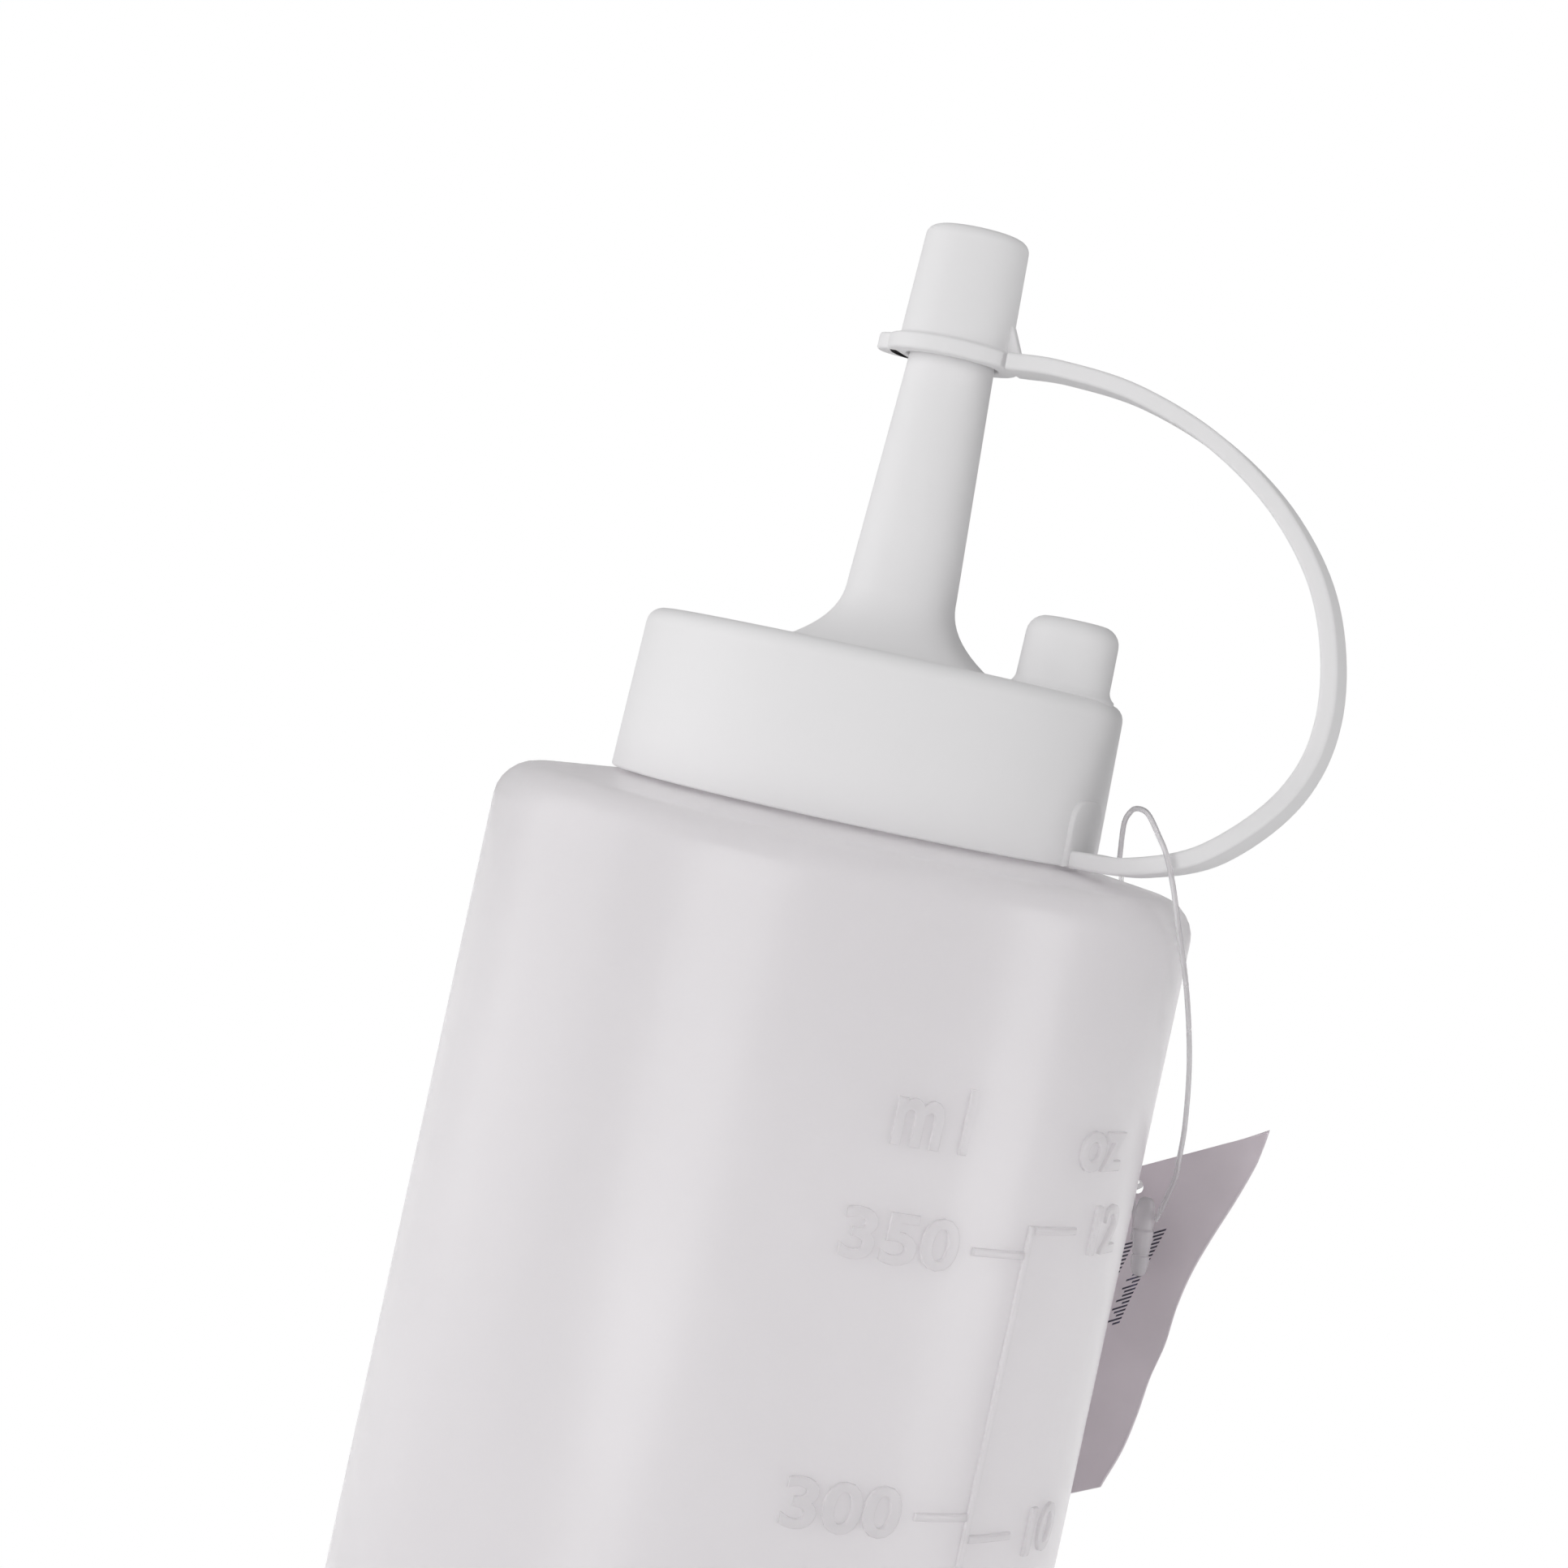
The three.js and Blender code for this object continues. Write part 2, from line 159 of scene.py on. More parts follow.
class CapSizes(bpy.types.PropertyGroup):
    """Sizes of the screw cap, its nozzle, its post and the tip cap."""

    skirt_top: length("Skirt top radius", "Outer radius of the skirt just under the top", 19.85 * MM)
    skirt_wall: length("Skirt wall", "Thickness of the skirt", 1.3 * MM)
    top_rounding: length("Top rounding", "Radius of the cap's top edge", 1.3 * MM)
    flare_radius: length("Flare radius", "Radius of the nozzle's flared root", 8.6 * MM)
    flare_height: length("Flare height", "Height of the nozzle's flared root", 5.6 * MM)
    nozzle_root: length("Nozzle root radius", "Radius of the nozzle above its flare", 4.55 * MM)
    nozzle_mouth: length("Nozzle mouth radius", "Radius of the nozzle under the tip cap", 3.55 * MM)
    nozzle_tip: length("Nozzle tip radius", "Radius of the nozzle's end", 3.0 * MM)
    post_radius: length("Post radius", "Radius of the parking post", 3.85 * MM)
    post_height: length("Post height", "Height of the parking post above the cap", 5.9 * MM)
    post_distance: length("Post distance", "Distance of the post from the bottle's axis", 15.0 * MM)
    post_azimuth: angle("Post azimuth", "Where the post stands, from +X", -19)
    tip_bottom: length("Tip cap bottom radius", "Radius of the tip cap above its flange", 4.62 * MM)
    tip_top: length("Tip cap top radius", "Radius of the tip cap at its top", 4.27 * MM)
    flange_radius: length("Flange radius", "Radius of the tip cap's flange", 5.47 * MM)
    flange_thickness: length("Flange thickness", "Thickness of the tip cap's flange", 1.4 * MM)
    steps: IntProperty(name="Steps", description="Facets round the cap", default=128, min=24)


class StrapSizes(bpy.types.PropertyGroup):
    """Sizes of the strap between the screw cap and the tip cap."""

    width: length("Width", "Width of the strap", 5.0 * MM)
    thickness: length("Thickness", "Thickness of the strap", 1.4 * MM)
    reach: length("Reach", "Greatest distance of the strap's centre from the axis", 36.5 * MM)
    root_azimuth: angle("Root azimuth", "Where the strap leaves the skirt, from +X", -26)
    tip_azimuth: angle("Tip azimuth", "Where the strap reaches the tip cap, from +X", -18)


class TagSizes(bpy.types.PropertyGroup):
    """Sizes of the hang tag and its loop."""

    loop_diameter: length("Loop diameter", "Diameter of the nylon loop", 0.44 * MM)
    width: length("Width", "Width of the tag", 17.0 * MM)
    height: length("Height", "Height of the tag", 33.8 * MM)
    thickness: length("Thickness", "Thickness of the tag", 0.3 * MM)
    azimuth: angle("Azimuth", "Where the tag leans on the wall, from +X", 60)
    hole_radius: length("Hole radius", "Radius of the tag's hole", 0.65 * MM)


class Finishes(bpy.types.PropertyGroup):
    """Colours of the plastics, the tag and the surroundings."""

    bottle: colour("Bottle", "Milky polyethylene of the bottle", (0.975, 0.962, 0.972))
    cap: colour("Cap", "Milky polyethylene of the cap", (0.88, 0.875, 0.88))
    nylon: colour("Nylon", "Clear nylon of the loop and the clasp", (0.88, 0.86, 0.88))
    tag: colour("Tag", "Coated card of the tag", (0.86, 0.8, 0.84))
    ink: colour("Ink", "Printed strokes on the tag", (0.045, 0.042, 0.07))
    surround: colour("Surround", "Floor and background", (1.0, 1.0, 1.0))


class StageSizes(bpy.types.PropertyGroup):
    """Where the camera stands and how it sees."""

    distance: length("Distance", "From the camera to the bottle's axis", 244.5 * MM)
    eye_height: length("Eye height", "Height of the camera above the floor", 180.3 * MM)
    roll: angle("Roll", "How far the camera is rolled", 12.27)
    focal_pixels: number("Focal length", "In pixels of the photograph", 3677)
    photo_width: IntProperty(name="Photo width", description="In pixels", default=1932)
    centre_right: number("Centre right", "Level point right of the middle, pixels", 112.7)
    centre_up: number("Centre up", "Level point above the middle, pixels", 86.7)


def new_object(name, bm, *materials):
    """Turns a bmesh into a smooth-shaded object at the origin."""
    mesh = bpy.data.meshes.new(name)
    bm.to_mesh(mesh)
    bm.free()
    for material in materials:
        mesh.materials.append(material)
    for polygon in mesh.polygons:
        polygon.use_smooth = True
    mesh.set_sharp_from_angle(angle=math.radians(50))
    obj = bpy.data.objects.new(name, mesh)
    bpy.context.scene.collection.objects.link(obj)
    return obj


def bevel_edges(bm, edges, offset, segments):
    """Rounds edges by an offset."""
    bmesh.ops.bevel(
        bm, geom=edges, offset=offset, offset_type="OFFSET", segments=segments, profile=0.5,
        affect="EDGES", material=-1,
    )


def extruded(bm, shift):
    """Turns the flat faces of bm into a body by carrying a copy of them along shift."""
    grown = bmesh.ops.extrude_face_region(bm, geom=bm.faces[:], use_keep_orig=True)
    moved = [item for item in grown["geom"] if isinstance(item, bmesh.types.BMVert)]
    bmesh.ops.translate(bm, vec=shift, verts=moved)
    bmesh.ops.recalc_face_normals(bm, faces=bm.faces[:])


def wire(bm, corners, closed=False):
    """Lays a run of edges through (radius, height, rounding) corners and rounds those that ask for it."""
    verts = [bm.verts.new((radius, 0, height)) for radius, height, _ in corners]
    pairs = list(zip(verts, verts[1:]))
    if closed:
        pairs.append((verts[-1], verts[0]))
    for pair in pairs:
        bm.edges.new(pair)
    for vert, (_, _, rounding) in zip(verts, corners):
        if rounding > 0:
            bmesh.ops.bevel(
                bm, geom=[vert], offset=rounding, offset_type="OFFSET", segments=6, profile=0.5,
                affect="VERTICES", material=-1, clamp_overlap=False,
            )


def spun(corners, steps, closed=False):
    """A turned solid from its outline, as a bmesh whose faces point out."""
    bm = bmesh.new()
    wire(bm, corners, closed)
    bmesh.ops.spin(
        bm, geom=bm.verts[:] + bm.edges[:], cent=(0, 0, 0), axis=(0, 0, 1),
        angle=2 * math.pi, steps=steps, use_merge=True,
    )
    bmesh.ops.remove_doubles(bm, verts=bm.verts[:], dist=1e-6)
    bmesh.ops.recalc_face_normals(bm, faces=bm.faces[:])
    return bm


def add(bm, other):
    """Adds another bmesh to bm."""
    mesh = bpy.data.meshes.new("part")
    other.to_mesh(mesh)
    other.free()
    bm.from_mesh(mesh)
    bpy.data.meshes.remove(mesh)


def turn(bm, azimuth, verts=None):
    """Turns a bmesh about the bottle's axis."""
    chosen = verts or bm.verts[:]
    bmesh.ops.rotate(bm, verts=chosen, cent=(0, 0, 0), matrix=Matrix.Rotation(azimuth, 3, "Z"))


def swept(section, frames):
    """Carries a flat section along frames, extruding from each to the next, and leaves only the end faces."""
    bm = bmesh.new()
    face = bm.faces.new([bm.verts.new(point) for point in section])
    bmesh.ops.transform(bm, matrix=frames[0], verts=face.verts[:])
    sections = [face]
    for before, after in zip(frames, frames[1:]):
        grown = bmesh.ops.extrude_face_region(bm, geom=[sections[-1]], use_keep_orig=True)
        face = next(item for item in grown["geom"] if isinstance(item, bmesh.types.BMFace))
        bmesh.ops.transform(bm, matrix=after @ before.inverted(), verts=face.verts[:])
        sections.append(face)
    bmesh.ops.delete(bm, geom=sections[1:-1], context="FACES_ONLY")
    bmesh.ops.recalc_face_normals(bm, faces=bm.faces[:])
    return bm


def rounded_bar(width, thickness, rounding):
    """A flat bar's section with rounded corners, in its own X and Y."""
    bm = bmesh.new()
    half_x, half_y = width / 2, thickness / 2
    corners = [(-half_x, -half_y, 0), (half_x, -half_y, 0), (half_x, half_y, 0), (-half_x, half_y, 0)]
    bm.faces.new([bm.verts.new(corner) for corner in corners])
    bmesh.ops.bevel(
        bm, geom=bm.verts[:], offset=rounding, offset_type="OFFSET", segments=4, profile=0.5,
        affect="VERTICES", material=-1, clamp_overlap=True,
    )
    bm.faces.ensure_lookup_table()
    points = [vert.co.copy() for vert in bm.faces[0].verts]
    bm.free()
    return points


def spline(points, share):
    """A point on a smooth curve through points, with share from 0 to 1."""
    place = share * (len(points) - 1)
    i = min(int(place), len(points) - 2)
    t = place - i
    before, here = points[max(i - 1, 0)], points[i]
    there, after = points[i + 1], points[min(i + 2, len(points) - 1)]
    bend = (2 * before - 5 * here + 4 * there - after) * t * t
    turn_in = (3 * here - before - 3 * there + after) * t * t * t
    return 0.5 * (2 * here + (there - before) * t + bend + turn_in)


class Nodes:
    """Short hand for building a material's nodes."""

    def __init__(self, name):
        self.material = bpy.data.materials.new(name)
        self.material.use_nodes = True
        self.tree = self.material.node_tree
        self.tree.nodes.clear()
        self.output = self.add("ShaderNodeOutputMaterial")

    def add(self, kind, **values):
        node = self.tree.nodes.new(kind)
        for name, value in values.items():
            if name in node.inputs:
                node.inputs[name].default_value = value
            else:
                setattr(node, name, value)
        return node

    def link(self, source, target):
        self.tree.links.new(source, target)

    def object_noise(self, scale, stretch, detail=3.0, roughness=0.5):
        """Noise on the piece's own coordinates, stretched by a factor in each direction."""
        place = self.add("ShaderNodeTexCoord")
        mapping = self.add("ShaderNodeMapping")
        mapping.inputs["Scale"].default_value = stretch
        noise = self.add("ShaderNodeTexNoise")
        noise.inputs["Scale"].default_value = scale
        noise.inputs["Detail"].default_value = detail
        noise.inputs["Roughness"].default_value = roughness
        self.link(place.outputs["Object"], mapping.inputs["Vector"])
        self.link(mapping.outputs["Vector"], noise.inputs["Vector"])
        return noise.outputs["Fac"]

    def bump(self, height, strength, distance, under=None):
        node = self.add("ShaderNodeBump")
        node.inputs["Strength"].default_value = strength
        node.inputs["Distance"].default_value = distance
        self.link(height, node.inputs["Height"])
        if under:
            self.link(under, node.inputs["Normal"])
        return node.outputs["Normal"]

    def ramp(self, value, low, high, dark, light):
        """A colour that goes from dark to light as value goes from low to high."""
        node = self.add("ShaderNodeValToRGB")
        first, last = node.color_ramp.elements
        first.position, last.position = low, high
        first.color = (*dark, 1)
        last.color = (*light, 1)
        self.link(value, node.inputs["Fac"])
        return node.outputs["Color"]

    def mix(self, share, first, second):
        node = self.add("ShaderNodeMixShader")
        node.inputs["Fac"].default_value = share
        self.link(first, node.inputs[1])
        self.link(second, node.inputs[2])
        return node.outputs[0]

    def finish(self, shader):
        self.link(shader, self.output.inputs["Surface"])
        return self.material


def shade(rgb, factor):
    """A colour made lighter or darker."""
    return tuple(min(1.0, channel * factor) for channel in rgb)


def milky_plastic(name, rgb, through, glow, roughness, streak_height):
    """Satin polyethylene that passes one share of the light blurred and scatters another, glow, onwards."""
    nodes = Nodes(name)
    streaks = nodes.object_noise(120.0, (1.0, 1.0, streak_height), detail=3.0, roughness=0.5)
    clouds = nodes.object_noise(38.0, (1.0, 1.0, 0.6), detail=2.0)
    grain = nodes.object_noise(2600.0, (1.0, 1.0, 1.0), detail=2.0)
    relief = nodes.bump(streaks, 0.1, 0.0005)
    relief = nodes.bump(clouds, 0.2, 0.0008, relief)
    relief = nodes.bump(grain, 0.08, 0.00005, relief)
    tint = nodes.ramp(clouds, 0.3, 0.7, shade(rgb, 0.98), shade(rgb, 1.01))
    gloss = nodes.add("ShaderNodeMapRange")
    gloss.inputs["To Min"].default_value = roughness - 0.04
    gloss.inputs["To Max"].default_value = roughness + 0.06
    nodes.link(streaks, gloss.inputs["Value"])
    skin = nodes.add("ShaderNodeBsdfPrincipled")
    skin.inputs["IOR"].default_value = 1.51
    skin.inputs["Transmission Weight"].default_value = through
    skin.inputs["Coat Weight"].default_value = 0.7
    skin.inputs["Coat Roughness"].default_value = 0.2
    nodes.link(tint, skin.inputs["Base Color"])
    nodes.link(gloss.outputs["Result"], skin.inputs["Roughness"])
    nodes.link(relief, skin.inputs["Normal"])
    nodes.link(relief, skin.inputs["Coat Normal"])
    onwards = nodes.add("ShaderNodeBsdfTranslucent")
    nodes.link(tint, onwards.inputs["Color"])
    nodes.link(relief, onwards.inputs["Normal"])
    return nodes.finish(nodes.mix(glow, skin.outputs[0], onwards.outputs[0]))


def nylon(rgb):
    """Clear nylon, a little hazy along its length."""
    nodes = Nodes("clear_nylon")
    haze = nodes.object_noise(900.0, (1.0, 1.0, 0.3))
    skin = nodes.add("ShaderNodeBsdfPrincipled")
    skin.inputs["IOR"].default_value = 1.53
    skin.inputs["Transmission Weight"].default_value = 0.6
    nodes.link(nodes.ramp(haze, 0.3, 0.7, shade(rgb, 0.9), rgb), skin.inputs["Base Color"])
    nodes.link(nodes.ramp(haze, 0.2, 0.8, (0.16,) * 3, (0.3,) * 3), skin.inputs["Roughness"])
    nodes.link(nodes.bump(haze, 0.2, 0.00005), skin.inputs["Normal"])
    return nodes.finish(skin.outputs[0])


def tag_card(rgb):
    """Thin coated card with faint fibres and a soft sheen."""
    nodes = Nodes("tag_card")
    fibres = nodes.object_noise(700.0, (1.0, 1.0, 0.25), detail=5.0, roughness=0.6)
    clouds = nodes.object_noise(90.0, (1.0, 1.0, 1.0), detail=3.0)
    skin = nodes.add("ShaderNodeBsdfPrincipled")
    nodes.link(nodes.ramp(clouds, 0.3, 0.7, shade(rgb, 0.92), shade(rgb, 1.07)), skin.inputs["Base Color"])
    nodes.link(nodes.ramp(fibres, 0.2, 0.8, (0.42,) * 3, (0.6,) * 3), skin.inputs["Roughness"])
    nodes.link(nodes.bump(fibres, 0.35, 0.00005), skin.inputs["Normal"])
    through = nodes.add("ShaderNodeBsdfTranslucent")
    through.inputs["Color"].default_value = (*rgb, 1)
    return nodes.finish(nodes.mix(0.2, skin.outputs[0], through.outputs[0]))


def ink(rgb):
    """Printing ink, a little worn where the card's fibres stand up."""
    nodes = Nodes("tag_ink")
    wear = nodes.object_noise(1500.0, (1.0, 1.0, 1.0), detail=4.0)
    skin = nodes.add("ShaderNodeBsdfPrincipled")
    nodes.link(nodes.ramp(wear, 0.55, 0.8, rgb, shade(rgb, 4.0)), skin.inputs["Base Color"])
    skin.inputs["Roughness"].default_value = 0.5
    return nodes.finish(skin.outputs[0])


def cone_height(sizes, radius):
    """Height of the shoulder's outer cone at a radius."""
    slope = math.radians(SHOULDER_SLOPE_DEG)
    start_radius = OUTER_RADIUS - sizes.corner + sizes.corner * math.sin(slope)
    start_height = sizes.shoulder + sizes.corner * math.cos(slope)
    return start_height + (start_radius - radius) * math.tan(slope)


def bottle_corners(sizes):
    """The bottle's closed outline, from the base's middle over the lip and back down the inside."""
    wall = sizes.wall
    panel_lift, panel_radius = 1.0 * MM, 20.0 * MM
    ring_inner, ring_outer = 22.5 * MM, 25.0 * MM
    base = 1.1 * MM
    inner = OUTER_RADIUS - wall
    neck = sizes.neck_radius
    bore = neck - sizes.neck_wall
    peak = cone_height(sizes, OUTER_RADIUS)
    corner = sizes.corner * 0.94
    return [
        (0, panel_lift, 0),
        (panel_radius, panel_lift, 1.2 * MM),
        (ring_inner, 0, 0.7 * MM),
        (OUTER_RADIUS, 0, OUTER_RADIUS - ring_outer),
        (OUTER_RADIUS, peak, corner),
        (neck, cone_height(sizes, neck), 1.0 * MM),
        (neck, LIP - 2.4 * MM, 0.2 * MM),
        (neck + 0.55 * MM, LIP - 1.9 * MM, 0.2 * MM),
        (neck + 0.55 * MM, LIP - 0.5 * MM, 0.3 * MM),
        (neck, LIP, 0.2 * MM),
        (bore, LIP, 0.3 * MM),
        (bore, cone_height(sizes, bore) - wall, 1.0 * MM),
        (inner, peak - wall, corner - wall),
        (inner, wall, OUTER_RADIUS - ring_outer - wall),
        (ring_inner, wall, 0.7 * MM),
        (panel_radius, panel_lift + base, 1.2 * MM),
        (0, panel_lift + base, 0),
    ]


def neck_thread(radius, proud, low, pitch, turns, outward=1):
    """A helical ridge that starts at height low, tapered at both ends."""
    steps = int(THREAD_STEPS * turns)
    bm = bmesh.new()
    root, crest = radius - outward * 0.25 * MM, radius + outward * proud
    profile = [(root, -1.0 * MM), (crest, -0.35 * MM), (crest, 0.35 * MM), (root, 1.0 * MM)]
    verts = [bm.verts.new((across, 0, low + up)) for across, up in profile]
    face = bm.faces.new(verts)
    bmesh.ops.spin(
        bm, geom=[face], cent=(0, 0, 0), axis=(0, 0, 1), dvec=(0, 0, pitch / THREAD_STEPS),
        angle=2 * math.pi * turns, steps=steps, use_merge=False,
    )
    run_out = 12
    for vert in bm.verts:
        travel = (vert.co.z - low) / pitch * THREAD_STEPS
        share = min(1.0, max(0.0, min(travel, steps - travel)) / run_out)
        across = math.hypot(vert.co.x, vert.co.y)
        wanted = root + (across - root) * (0.1 + 0.9 * share)
        vert.co.xy *= wanted / across
    bmesh.ops.recalc_face_normals(bm, faces=bm.faces[:])
    return bm


def on_wall(point, azimuth):
    """Carries a flat point (across, up, proud) onto the bottle's wall at an azimuth."""
    radius = OUTER_RADIUS + point.z
    turned = azimuth + point.x / OUTER_RADIUS
    return Vector((radius * math.cos(turned), radius * math.sin(turned), point.y))


def wall_bar(sizes, left, right, low, high):
    """A raised bar on the wall, in millimetres across from the scale's line, with rounded edges."""
    bm = bmesh.new()
    bmesh.ops.create_cube(bm, size=1.0)
    depth = sizes.scale_raise + 0.35 * MM
    bmesh.ops.scale(bm, vec=(right - left, high - low, depth), verts=bm.verts[:])
    middle = ((left + right) / 2, (low + high) / 2, sizes.scale_raise - depth / 2)
    bmesh.ops.translate(bm, vec=middle, verts=bm.verts[:])
    face = max(bm.faces, key=lambda item: item.calc_center_median().z)
    bevel_edges(bm, list(face.edges), 0.16 * MM, 3)
    slices = max(1, int((right - left) / MM))
    half = (right - left) * 0.5
    across = [edge for edge in bm.edges if abs(edge.verts[0].co.x - edge.verts[1].co.x) > half]
    bmesh.ops.subdivide_edges(bm, edges=across, cuts=slices, use_grid_fill=True)
    for vert in bm.verts:
        vert.co = on_wall(vert.co, sizes.scale_azimuth)
    return bm


def raised_text(sizes, words, left, right, low, high):
    """Raised figures with soft edges, fitted into a box given from the scale's line and from the floor."""
    figure_share = 0.7
    curve = bpy.data.curves.new("figures", "FONT")
    curve.body = words
    curve.size = (high - low) / figure_share
    curve.resolution_u = 4
    curve.offset = 0.03 * MM
    curve.extrude = sizes.scale_raise * 0.5
    curve.bevel_depth = 0.11 * MM
    curve.bevel_resolution = 2
    obj = bpy.data.objects.new("figures", curve)
    bpy.context.scene.collection.objects.link(obj)
    mesh = bpy.data.meshes.new_from_object(obj.evaluated_get(bpy.context.evaluated_depsgraph_get()))
    bpy.data.objects.remove(obj)
    bpy.data.curves.remove(curve)
    bm = bmesh.new()
    bm.from_mesh(mesh)
    bpy.data.meshes.remove(mesh)
    bmesh.ops.remove_doubles(bm, verts=bm.verts[:], dist=1e-6)
    bmesh.ops.recalc_face_normals(bm, faces=bm.faces[:])
    first = Vector([min(vert.co[i] for vert in bm.verts) for i in range(3)])
    last = Vector([max(vert.co[i] for vert in bm.verts) for i in range(3)])
    fit = ((right - left) / (last.x - first.x), (high - low) / (last.y - first.y), 1)
    bmesh.ops.translate(bm, vec=(-first.x, -first.y, -last.z), verts=bm.verts[:])
    bmesh.ops.scale(bm, vec=fit, verts=bm.verts[:])
    bmesh.ops.translate(bm, vec=(left, low, sizes.scale_raise), verts=bm.verts[:])
    for vert in bm.verts:
        vert.co = on_wall(vert.co, sizes.scale_azimuth)
    return bm


def scale_height(sizes, millilitres):
    """Height at which the bottle holds so many millilitres."""
    bore = OUTER_RADIUS - sizes.wall
    return sizes.scale_zero + millilitres * 1e-6 / (math.pi * bore * bore)


def raised_scale(sizes):
    """The line, ticks and figures of the twin scale, millilitres on the left and ounces on the right."""
    half = 0.3 * MM
    figure_half = 1.95 * MM
    margin = 2.5 * MM
    millilitre_step, millilitre_marks = 50, 7
    ounce_step, ounce_marks = 2, 6
    low = scale_height(sizes, millilitre_step) - margin
    high = scale_height(sizes, ounce_step * ounce_marks * MILLILITRES_PER_OUNCE)
    bm = wall_bar(sizes, -half, half, low, high + half)
    for mark in range(millilitre_step, millilitre_step * millilitre_marks + 1, millilitre_step):
        height = scale_height(sizes, mark)
        add(bm, wall_bar(sizes, -sizes.tick, -half, height - half, height + half))
        left = -15.9 * MM if mark > 99 else -12.7 * MM
        foot = height + 0.2 * MM - figure_half
        top = height + 0.2 * MM + figure_half
        add(bm, raised_text(sizes, str(mark), left, -6.6 * MM, foot, top))
    for mark in range(ounce_step, ounce_step * ounce_marks + 1, ounce_step):
        height = scale_height(sizes, mark * MILLILITRES_PER_OUNCE)
        add(bm, wall_bar(sizes, half, sizes.tick, height - half, height + half))
        right = 12.7 * MM if mark > 9 else 10.1 * MM
        foot, top = height - figure_half, height + figure_half
        add(bm, raised_text(sizes, str(mark), 7.9 * MM, right, foot, top))
    add(bm, raised_text(sizes, "m", -13.8 * MM, -10.0 * MM, high + 5.0 * MM, high + 8.6 * MM))
    add(bm, raised_text(sizes, "l", -8.3 * MM, -7.7 * MM, high + 5.0 * MM, high + 9.9 * MM))
    add(bm, raised_text(sizes, "oz", 3.7 * MM, 10.2 * MM, high + 4.6 * MM, high + 7.8 * MM))
    return bm


class SQUEEZE_OT_bottle(bpy.types.Operator):
    """Blow the bottle with its threaded neck and raised scale"""

    bl_idname = "squeeze.bottle"
    bl_label = "Bottle"

    def execute(self, context):
        sizes = context.scene.bottle_sizes
        rgb = tuple(context.scene.finishes.bottle)
        bm = spun(bottle_corners(sizes), sizes.steps)
        thread_low = cone_height(sizes, sizes.neck_radius) + 3.0 * MM
        add(bm, neck_thread(sizes.neck_radius, sizes.thread_proud, thread_low, sizes.thread_pitch, 1.15))
        add(bm, raised_scale(sizes))
        material = milky_plastic("milky_plastic", rgb, 0.6, 0.3, 0.42, 0.02)
        bottle = new_object("squeeze_bottle_body", bm, material)
        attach(bottle, "bottle")
        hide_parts("bottle")
        return {"FINISHED"}


def cap_corners(sizes):
    """The screw cap's closed outline, over the nozzle and back down its bore."""
    top_skirt, wall = sizes.skirt_top, sizes.skirt_wall
    bore_root = sizes.nozzle_root - 1.2 * MM
    bore_tip = sizes.nozzle_tip - 0.9 * MM
    corners = [
        (SKIRT_RADIUS, RIM, 0.25 * MM),
        (top_skirt, CAP_TOP, sizes.top_rounding),
    ]
    for i in range(0, 13):
        share = i / 12
        spread = (1 - share) ** 2.3
        radius = sizes.nozzle_root + (sizes.flare_radius - sizes.nozzle_root) * spread
        corners.append((radius, CAP_TOP + sizes.flare_height * share, 0))
    corners += [
        (sizes.nozzle_mouth, TIP_LOW.z, 0),
        (sizes.nozzle_tip, NOZZLE_END, 0.3 * MM),
        (bore_tip, NOZZLE_END, 0.2 * MM),
        (bore_root, CAP_TOP + sizes.flare_height, 0.8 * MM),
        (bore_root, CAP_UNDERSIDE, 0.4 * MM),
        (top_skirt - wall, CAP_UNDERSIDE, 0.5 * MM),
        (SKIRT_RADIUS - wall, RIM, 0.3 * MM),
    ]
    return corners


def parking_post(sizes):
    """The short round post on the cap's top."""
    low, high = CAP_TOP - 0.8 * MM, CAP_TOP + sizes.post_height
    bm = spun([
        (0, low, 0),
        (sizes.post_radius + 0.5 * MM, low, 0),
        (sizes.post_radius + 0.5 * MM, CAP_TOP + 0.05 * MM, 0),
        (sizes.post_radius, CAP_TOP + 0.5 * MM, 0.4 * MM),
        (sizes.post_radius - 0.1 * MM, high, 1.5 * MM),
        (0, high, 0),
    ], 64)
    bmesh.ops.translate(bm, vec=(sizes.post_distance, 0, 0), verts=bm.verts[:])
    turn(bm, sizes.post_azimuth)
    return bm


def strap_pad(sizes, strap):
    """The rounded pad on the skirt from which the strap grows."""
    width, height, proud = strap.width + 0.8 * MM, 5.4 * MM, 0.35 * MM
    bm = bmesh.new()
    bmesh.ops.create_cube(bm, size=1.0)
    depth = proud + 0.7 * MM
    bmesh.ops.scale(bm, vec=(depth, width, height), verts=bm.verts[:])
    middle = (SKIRT_RADIUS + proud - depth / 2, 0, RIM + height / 2)
    bmesh.ops.translate(bm, vec=middle, verts=bm.verts[:])
    upper = [
        edge for edge in bm.edges
        if min(vert.co.z for vert in edge.verts) > RIM + height * 0.9
        and abs(edge.verts[0].co.y - edge.verts[1].co.y) < 1e-6
    ]
    bevel_edges(bm, upper, 1.8 * MM, 8)
    front = [face for face in bm.faces if face.normal.x > 0.9]
    rim_edges = {edge for face in front for edge in face.edges}
    bevel_edges(bm, list(rim_edges), 0.22 * MM, 3)
    for vert in bm.verts:
        vert.co.x -= SKIRT_RADIUS - math.sqrt(SKIRT_RADIUS ** 2 - vert.co.y ** 2)
        vert.co.x -= (vert.co.z - RIM) / (CAP_TOP - RIM) * (SKIRT_RADIUS - sizes.skirt_top)
    turn(bm, strap.root_azimuth)
    return bm


